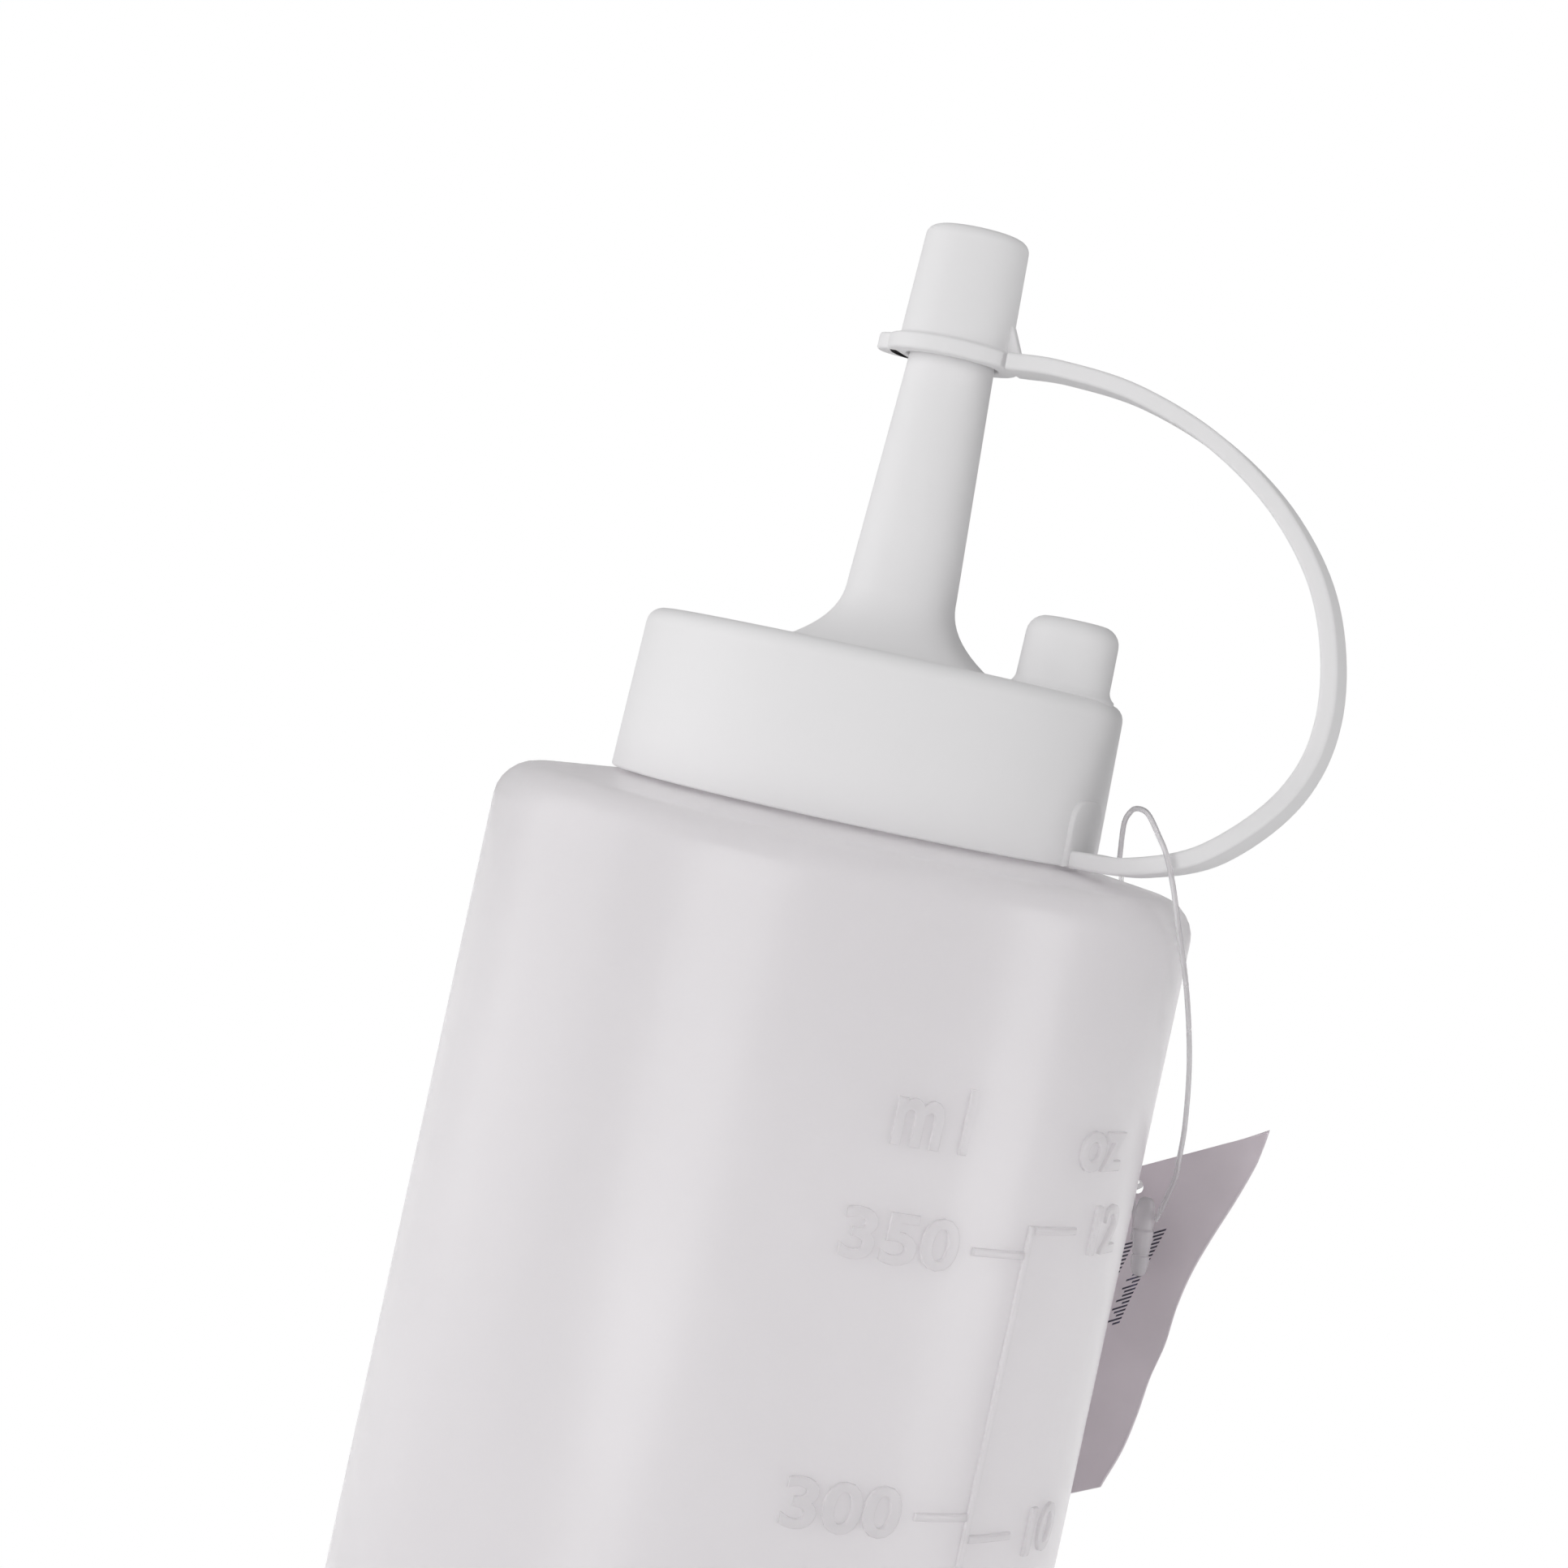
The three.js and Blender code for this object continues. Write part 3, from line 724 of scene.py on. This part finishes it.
class SQUEEZE_OT_screw_cap(bpy.types.Operator):
    """Mould the screw cap with its nozzle, post and the strap's pad"""

    bl_idname = "squeeze.screw_cap"
    bl_label = "Screw cap"

    def execute(self, context):
        scene = context.scene
        sizes = scene.cap_sizes
        bm = spun(cap_corners(sizes), sizes.steps, closed=True)
        add(bm, parking_post(sizes))
        add(bm, strap_pad(sizes, scene.strap_sizes))
        material = cap_plastic(scene)
        cap = new_object("nozzle_screw_cap", bm, material)
        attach(cap, "screw_cap")
        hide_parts("screw_cap")
        return {"FINISHED"}


def cap_plastic(scene):
    """The caps' milky plastic, made once."""
    found = bpy.data.materials.get("cap_plastic")
    rgb = tuple(scene.finishes.cap)
    return found or milky_plastic("cap_plastic", rgb, 0.2, 0.3, 0.36, 0.35)


class SQUEEZE_OT_tip_cap(bpy.types.Operator):
    """Mould the tip cap with its flange, pull tab and gusset"""

    bl_idname = "squeeze.tip_cap"
    bl_label = "Tip cap"

    def execute(self, context):
        scene = context.scene
        sizes = scene.cap_sizes
        low, high = TIP_LOW.z, TIP_HIGH.z
        flange_top = low + sizes.flange_thickness
        mouth = sizes.nozzle_mouth + 0.3 * MM
        ceiling = high - 1.1 * MM
        bm = spun([
            (mouth, low, 0.15 * MM),
            (sizes.flange_radius, low, 0.3 * MM),
            (sizes.flange_radius, flange_top, 0.3 * MM),
            (sizes.tip_bottom, flange_top, 0.35 * MM),
            (sizes.tip_top, high, 0.9 * MM),
            (0, high, 0),
            (0, ceiling, 0),
            (sizes.nozzle_tip + 0.3 * MM, ceiling, 0.3 * MM),
        ], 96, closed=True)
        bmesh.ops.remove_doubles(bm, verts=bm.verts[:], dist=1e-6)
        add(bm, pull_tab(sizes, low, flange_top, scene.strap_sizes.tip_azimuth))
        add(bm, gusset(sizes, flange_top, scene.strap_sizes.tip_azimuth))
        tip = new_object("nozzle_tip_cap", bm, cap_plastic(scene))
        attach(tip, "tip_cap")
        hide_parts("tip_cap")
        return {"FINISHED"}


def pull_tab(sizes, low, high, azimuth):
    """The rounded tab opposite the strap."""
    half, reach = 2.2 * MM, 6.5 * MM
    start = sizes.tip_bottom - 0.4 * MM
    bm = bmesh.new()
    rounds = [math.radians(-90 + 15 * i) for i in range(13)]
    corners = [(start, -half)]
    corners += [(reach - half + half * math.cos(turned), half * math.sin(turned)) for turned in rounds]
    corners.append((start, half))
    bm.faces.new([bm.verts.new((x, y, low)) for x, y in corners])
    extruded(bm, (0, 0, high - low))
    level = [edge for edge in bm.edges if abs(edge.verts[0].co.z - edge.verts[1].co.z) < 1e-7]
    bevel_edges(bm, level, 0.25 * MM, 3)
    turn(bm, azimuth + math.pi)
    return bm


def gusset(sizes, flange_top, azimuth):
    """The small triangular rib between the tip cap's side and the strap."""
    rise, thickness = 2.4 * MM, 1.1 * MM
    start = sizes.tip_bottom - 0.4 * MM
    bm = bmesh.new()
    corners = [
        (start, flange_top - 0.6 * MM),
        (sizes.flange_radius + 0.3 * MM, flange_top - 0.6 * MM),
        (sizes.flange_radius + 0.3 * MM, flange_top),
        (sizes.tip_bottom, flange_top + rise),
        (start, flange_top + rise),
    ]
    bm.faces.new([bm.verts.new((x, -thickness / 2, z)) for x, z in corners])
    extruded(bm, (0, thickness, 0))
    bevel_edges(bm, bm.edges[:], 0.18 * MM, 2)
    turn(bm, azimuth)
    return bm


def strap_points(sizes, caps):
    """The strap's centre line as (distance from the axis, height) points."""
    low = RIM + sizes.thickness / 2
    high = TIP_LOW.z + caps.flange_thickness / 2
    root = SKIRT_RADIUS + 0.65 * MM
    tip = caps.flange_radius + 0.3 * MM
    lower = [(0, 0), (0.28, 0.012), (0.635, 0.075), (0.915, 0.222), (1, 0.41)]
    upper = [(0.935, 0.62), (0.787, 0.784), (0.579, 0.906), (0.344, 0.979), (0.13, 1.002), (0, 1)]
    points = [Vector((root + (sizes.reach - root) * out, low + (high - low) * up)) for out, up in lower]
    points += [Vector((tip + (sizes.reach - tip) * out, low + (high - low) * up)) for out, up in upper]
    return points


def strap_frames(sizes, caps):
    """Frames along the strap: X across its width, Y out of its outer face and Z along it."""
    points = strap_points(sizes, caps)
    steps = 90
    overlap = 0.5 * MM
    frames = []
    for i in range(steps + 1):
        here = spline(points, i / steps)
        ahead = spline(points, min(1, (i + 0.5) / steps)) - spline(points, max(0, (i - 0.5) / steps))
        ahead.normalize()
        if i == 0:
            here = here - ahead * overlap
        if i == steps:
            here = here + ahead * overlap
        rise = (here.y - RIM) / (TIP_LOW.z - RIM)
        share = min(1.0, max(0.0, rise / 0.36))
        share = share * share * (3 - 2 * share)
        azimuth = sizes.root_azimuth + (sizes.tip_azimuth - sizes.root_azimuth) * share
        along = Vector((ahead.x, 0, ahead.y))
        across = Vector((0, 1, 0))
        outward = along.cross(across)
        matrix = Matrix((across, outward, along)).transposed().to_4x4()
        matrix.translation = Vector((here.x, 0, here.y))
        frames.append(Matrix.Rotation(azimuth, 4, "Z") @ matrix)
    return frames


class SQUEEZE_OT_strap(bpy.types.Operator):
    """Mould the flat strap that ties the tip cap to the screw cap"""

    bl_idname = "squeeze.strap"
    bl_label = "Strap"

    def execute(self, context):
        scene = context.scene
        sizes = scene.strap_sizes
        section = rounded_bar(sizes.width, sizes.thickness, 0.32 * MM)
        bm = swept(section, strap_frames(sizes, scene.cap_sizes))
        strap = new_object("tether_strap", bm, cap_plastic(scene))
        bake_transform(strap)
        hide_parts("strap")
        return {"FINISHED"}


class SQUEEZE_OT_tag_loop(bpy.types.Operator):
    """Thread the nylon loop through the strap and the tag, and close it with its clasp"""

    bl_idname = "squeeze.tag_loop"
    bl_label = "Tag loop"

    def execute(self, context):
        scene = context.scene
        sizes = scene.tag_sizes
        material = nylon(tuple(scene.finishes.nylon))
        clasp = self.clasp(material)
        points = [Vector(point) for point in LOOP_ROUTE]
        steps = 240
        fine = [spline(points, i / steps) for i in range(steps + 1)]
        frames = []
        side = Vector((0, 1, 0))
        for i, here in enumerate(fine):
            ahead = (fine[min(i + 1, steps)] - fine[max(i - 1, 0)]).normalized()
            side = (side - ahead * side.dot(ahead)).normalized()
            matrix = Matrix((side, ahead.cross(side), ahead)).transposed().to_4x4()
            matrix.translation = here
            frames.append(matrix)
        radius = sizes.loop_diameter / 2
        ring = bmesh.new()
        bmesh.ops.create_circle(ring, segments=12, radius=radius)
        section = [vert.co.copy() for vert in ring.verts]
        ring.free()
        loop = new_object("nylon_loop", swept(section, frames), material)
        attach(loop, "screw_cap")
        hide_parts("tag_loop")
        return {"FINISHED"}

    def clasp(self, material):
        """The moulded clasp: a round head, a tapering body and a blunt foot."""
        low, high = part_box("tag_loop_clasp")
        bm = spun([
            (0, 0, 0),
            (0.56 * MM, 0, 0.4 * MM),
            (0.78 * MM, 1.25 * MM, 0.2 * MM),
            (0.77 * MM, 1.75 * MM, 0.06 * MM),
            (0.67 * MM, 1.85 * MM, 0.04 * MM),
            (0.72 * MM, 2.0 * MM, 0.06 * MM),
            (0.93 * MM, 3.95 * MM, 0.1 * MM),
            (0.8 * MM, 4.1 * MM, 0.05 * MM),
            (0.86 * MM, 4.5 * MM, 0.2 * MM),
            (0.84 * MM, 6.0 * MM, 0.5 * MM),
            (0.5 * MM, 6.8 * MM, 0.3 * MM),
            (0, 6.8 * MM, 0),
        ], 32)
        lean = Matrix.Rotation(math.radians(-6), 3, "Y")
        bmesh.ops.rotate(bm, verts=bm.verts[:], cent=(0, 0, 0), matrix=lean)
        bmesh.ops.translate(bm, vec=(32.4 * MM, 12.5 * MM, low.z), verts=bm.verts[:])
        clasp = new_object("nylon_clasp", bm, material)
        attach(clasp, "screw_cap")
        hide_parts("tag_loop_clasp")
        return clasp


class SQUEEZE_OT_hang_tag(bpy.types.Operator):
    """Cut the thin tag, bend it and print its plain strokes"""

    bl_idname = "squeeze.hang_tag"
    bl_label = "Hang tag"

    def execute(self, context):
        scene = context.scene
        sizes = scene.tag_sizes
        bm = bmesh.new()
        bmesh.ops.create_grid(bm, x_segments=44, y_segments=TAG_ROWS, size=0.5)
        for vert in bm.verts:
            vert.co.x = (vert.co.x - 0.5) * sizes.width
            vert.co.y = (vert.co.y - 0.5) * sizes.height
        self.print_strokes(bm, sizes)
        for vert in bm.verts:
            vert.co = self.laid(vert.co.x, vert.co.y, sizes)
        self.punch(bm, sizes)
        normal = Vector((math.cos(sizes.azimuth), math.sin(sizes.azimuth), 0))
        tangent = Vector((math.sin(sizes.azimuth), -math.cos(sizes.azimuth), 0))
        for vert in bm.verts:
            vert.co = normal * vert.co.z + tangent * vert.co.x + Vector((0, 0, vert.co.y))
        bmesh.ops.recalc_face_normals(bm, faces=bm.faces[:])
        bmesh.ops.solidify(bm, geom=bm.faces[:], thickness=sizes.thickness)
        bm.normal_update()
        for face in bm.faces:
            if face.normal.dot(normal) > -0.3:
                face.material_index = 0
        finishes = scene.finishes
        card = tag_card(tuple(finishes.tag))
        tag = new_object("hang_tag_card", bm, card, ink(tuple(finishes.ink)))
        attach(tag, "screw_cap")
        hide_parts("hang_tag")
        return {"FINISHED"}

    def print_strokes(self, bm, sizes):
        """Two columns of short plain strokes across the tag."""
        row_height = sizes.height / TAG_ROWS
        for face in bm.faces:
            place = face.calc_center_median()
            row = int(-place.y / row_height)
            long_end = 6.2 * MM + 0.35 * MM * (1 + math.sin(row * 1.9))
            short_end = 9.4 * MM + 0.35 * MM * math.sin(row * 2.3)
            long_column = 38 <= row < 83 and 5.3 * MM < -place.x < long_end
            short_column = 40 <= row < 62 and 8.2 * MM < -place.x < short_end
            if row % 2 == 0 and (long_column or short_column):
                face.material_index = 1

    def laid(self, x, y, sizes):
        """A flat point as (across, up, out) on the leaning tag, with its wavy edge and curled corner."""
        lean, rise = 0.25, 0.54
        right, top = 29.9 * MM, 152.6 * MM
        down = -y / sizes.height
        edge = max(0.0, 1 + x / (9 * MM))
        edge = edge * edge * (3 - 2 * edge)
        across = right + x + y * lean + edge * MM * spline(EDGE_WAVE, down)
        up = top + y + x * rise
        corner = max(0.0, 1 + x / (3.5 * MM)) * max(0.0, 1 + y / (3 * MM))
        out = OUTER_RADIUS + 0.45 * MM
        out += 0.5 * MM * edge * math.sin(down * 9.0 + 0.6) - 0.9 * MM * corner ** 1.5
        return Vector((across, up, out))

    def punch(self, bm, sizes):
        """Opens the hole and draws its edge onto a circle."""
        centre = Vector((18.86 * MM, 144.8 * MM))
        radius = sizes.hole_radius
        inside = [face for face in bm.faces if (face.calc_center_median().xy - centre).length < radius]
        bmesh.ops.delete(bm, geom=inside, context="FACES")
        for vert in bm.verts:
            away = vert.co.xy - centre
            if vert.is_boundary and away.length < radius * 1.6:
                vert.co.xy = centre + away.normalized() * radius


class SQUEEZE_OT_stage(bpy.types.Operator):
    """Set the camera, the white surroundings and the soft lights"""

    bl_idname = "squeeze.stage"
    bl_label = "Stage"

    def execute(self, context):
        scene = context.scene
        sizes = scene.stage_sizes
        self.camera(scene, sizes)
        self.floor(scene)
        self.world(scene)
        # Each softbox's name, place, target, width and height in metres, and watts
        self.lamp(scene, "front_left_softbox", (-0.34, -0.56, 0.22), (0, 0, 0.15), (0.36, 0.6), 1.48)
        self.lamp(scene, "low_left_softbox", (-0.155, -0.27, 0.05), (0, 0, 0.1), (0.1, 0.1), 0.05)
        self.lamp(scene, "right_softbox", (0.58, -0.24, 0.2), (0, 0, 0.13), (0.24, 0.7), 1.25)
        self.lamp(scene, "left_softbox", (-0.7, 0.05, 0.3), (0, 0, 0.14), (0.6, 0.6), 1.0)
        scene.view_settings.view_transform = "Standard"
        return {"FINISHED"}

    def camera(self, scene, sizes):
        data = bpy.data.cameras.new("camera")
        data.sensor_width = 36
        data.lens = data.sensor_width * sizes.focal_pixels / sizes.photo_width
        data.shift_x = -sizes.centre_right / sizes.photo_width
        data.shift_y = -sizes.centre_up / sizes.photo_width
        data.clip_start = 0.01
        camera = bpy.data.objects.new("camera", data)
        right = Vector((math.cos(sizes.roll), 0, math.sin(sizes.roll)))
        up = Vector((-math.sin(sizes.roll), 0, math.cos(sizes.roll)))
        matrix = Matrix((right, up, right.cross(up))).transposed().to_4x4()
        matrix.translation = (0, -sizes.distance, sizes.eye_height)
        camera.matrix_world = matrix
        scene.collection.objects.link(camera)
        scene.camera = camera

    def floor(self, scene):
        """A white floor that holds the object's shadow near it and fades to the plain background."""
        nodes = Nodes("floor_white")
        place = nodes.add("ShaderNodeTexCoord")
        distance = nodes.add("ShaderNodeVectorMath", operation="LENGTH")
        nodes.link(place.outputs["Object"], distance.inputs[0])
        fade = nodes.add("ShaderNodeMapRange", interpolation_type="SMOOTHSTEP")
        fade_start, fade_end, nearest_share = 0.1, 0.24, 0.5
        fade.inputs["From Min"].default_value = fade_start
        fade.inputs["From Max"].default_value = fade_end
        fade.inputs["To Min"].default_value = nearest_share
        nodes.link(distance.outputs["Value"], fade.inputs["Value"])
        seen = nodes.add("ShaderNodeMath", operation="MULTIPLY")
        nodes.link(fade.outputs["Result"], seen.inputs[0])
        nodes.link(seen_directly(nodes), seen.inputs[1])
        paint = nodes.add("ShaderNodeBsdfDiffuse")
        paint.inputs["Color"].default_value = (0.8, 0.8, 0.8, 1)
        white = nodes.add("ShaderNodeEmission")
        white.inputs["Color"].default_value = (*scene.finishes.surround, 1)
        mix = nodes.add("ShaderNodeMixShader")
        nodes.link(seen.outputs[0], mix.inputs["Fac"])
        nodes.link(paint.outputs[0], mix.inputs[1])
        nodes.link(white.outputs[0], mix.inputs[2])
        material = nodes.finish(mix.outputs[0])
        bm = bmesh.new()
        bmesh.ops.create_grid(bm, x_segments=1, y_segments=1, size=4.0)
        floor = new_object("floor", bm, material)

    def world(self, scene):
        world = bpy.data.worlds.new("white_room")
        world.use_nodes = True
        scene.world = world
        tree = world.node_tree
        tree.nodes.clear()
        output = tree.nodes.new("ShaderNodeOutputWorld")
        mix = tree.nodes.new("ShaderNodeMixShader")
        room = tree.nodes.new("ShaderNodeBackground")
        place = tree.nodes.new("ShaderNodeTexCoord")
        apart = tree.nodes.new("ShaderNodeSeparateXYZ")
        sides = tree.nodes.new("ShaderNodeMapRange")
        sides.inputs["From Min"].default_value = -1
        sides.inputs["To Min"].default_value = 0.62
        sides.inputs["To Max"].default_value = 0.34
        tree.links.new(place.outputs["Generated"], apart.inputs[0])
        tree.links.new(apart.outputs["X"], sides.inputs["Value"])
        tree.links.new(sides.outputs["Result"], room.inputs["Strength"])
        shown = tree.nodes.new("ShaderNodeBackground")
        shown.inputs["Color"].default_value = (*scene.finishes.surround, 1)
        path = tree.nodes.new("ShaderNodeLightPath")
        either = tree.nodes.new("ShaderNodeMath")
        either.operation = "MAXIMUM"
        tree.links.new(path.outputs["Is Camera Ray"], either.inputs[0])
        tree.links.new(path.outputs["Is Transmission Ray"], either.inputs[1])
        tree.links.new(either.outputs[0], mix.inputs["Fac"])
        tree.links.new(room.outputs[0], mix.inputs[1])
        tree.links.new(shown.outputs[0], mix.inputs[2])
        tree.links.new(mix.outputs[0], output.inputs["Surface"])

    def lamp(self, scene, name, place, target, size, power):
        """A softbox of a width and a height, aimed at a point."""
        data = bpy.data.lights.new(name, "AREA")
        data.shape = "RECTANGLE"
        data.size, data.size_y = size
        data.energy = power
        lamp = bpy.data.objects.new(name, data)
        lamp.location = place
        aim = Vector(target) - Vector(place)
        lamp.rotation_euler = aim.to_track_quat("-Z", "Y").to_euler()
        scene.collection.objects.link(lamp)


def seen_directly(nodes):
    """1 where the camera, a mirror or clear plastic sees the surface, else 0."""
    path = nodes.add("ShaderNodeLightPath")
    first = nodes.add("ShaderNodeMath", operation="MAXIMUM")
    second = nodes.add("ShaderNodeMath", operation="MAXIMUM")
    nodes.link(path.outputs["Is Camera Ray"], first.inputs[0])
    nodes.link(path.outputs["Is Glossy Ray"], first.inputs[1])
    nodes.link(first.outputs[0], second.inputs[0])
    nodes.link(path.outputs["Is Transmission Ray"], second.inputs[1])
    return second.outputs[0]


class SQUEEZE_PT_panel(bpy.types.Panel):
    """Lists the bottle's operators"""

    bl_label = "Squeeze bottle"
    bl_idname = "SQUEEZE_PT_panel"
    bl_space_type = "VIEW_3D"
    bl_region_type = "UI"
    bl_category = "Bottle"

    def draw(self, context):
        for operator in OPERATORS:
            self.layout.operator(operator.bl_idname)


GROUPS = {
    "bottle_sizes": BottleSizes,
    "cap_sizes": CapSizes,
    "strap_sizes": StrapSizes,
    "tag_sizes": TagSizes,
    "finishes": Finishes,
    "stage_sizes": StageSizes,
}
OPERATORS = [
    SQUEEZE_OT_stage,
    SQUEEZE_OT_tag_loop,
    SQUEEZE_OT_bottle,
    SQUEEZE_OT_screw_cap,
    SQUEEZE_OT_tip_cap,
    SQUEEZE_OT_strap,
    SQUEEZE_OT_hang_tag,
]


def register():
    """Registers the classes and hangs the property groups on the scene."""
    for cls in [*GROUPS.values(), *OPERATORS, SQUEEZE_PT_panel]:
        bpy.utils.register_class(cls)
    for name, group in GROUPS.items():
        setattr(bpy.types.Scene, name, PointerProperty(type=group))


def unregister():
    """Undoes register."""
    for name in GROUPS:
        delattr(bpy.types.Scene, name)
    for cls in reversed([*GROUPS.values(), *OPERATORS, SQUEEZE_PT_panel]):
        bpy.utils.unregister_class(cls)


def main():
    """Builds the stage and every piece."""
    register()
    for operator in OPERATORS:
        group, name = operator.bl_idname.split(".")
        getattr(getattr(bpy.ops, group), name)()


if __name__ == "__main__":
    main()
